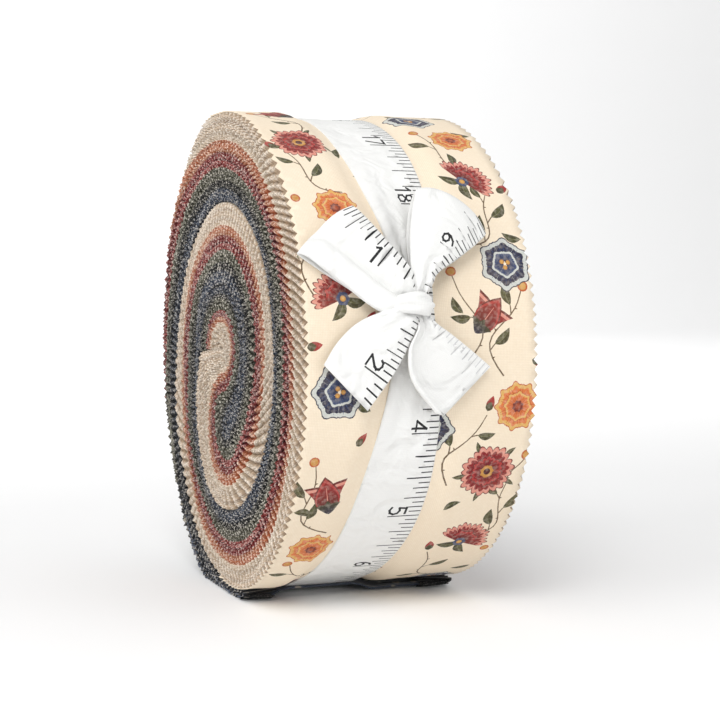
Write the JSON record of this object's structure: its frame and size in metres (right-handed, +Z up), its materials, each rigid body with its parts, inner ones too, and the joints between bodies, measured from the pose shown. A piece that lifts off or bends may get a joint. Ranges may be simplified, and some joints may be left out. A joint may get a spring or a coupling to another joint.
{
  "type": "roll of quilting fabric strips",
  "caption": "Stack of pinked cotton strips wound into a round roll, lying on its side and tied round the middle with a cloth tape in a bow.",
  "frame": {"origin": "bottom centre of the part's box, on the surface that the roll's small flat spot rests on", "axes": "+X along the roll's axis, with the coiled end that shows at -X; the bow faces -Y; +Z up"},
  "size_m": [0.0636, 0.1424, 0.135],
  "materials": {
    "cloth": "woven cotton, printed, matt",
    "tape": "white cotton twill tape, printed, matt"
  },
  "bodies": {
    "root": {"strip_roll": "cloth", "tape_band": "tape", "tape_knot": "tape", "tape_loop_left": "tape", "tape_loop_right": "tape", "tape_tail_left": "tape", "tape_tail_right": "tape"}
  },
  "joints": []
}
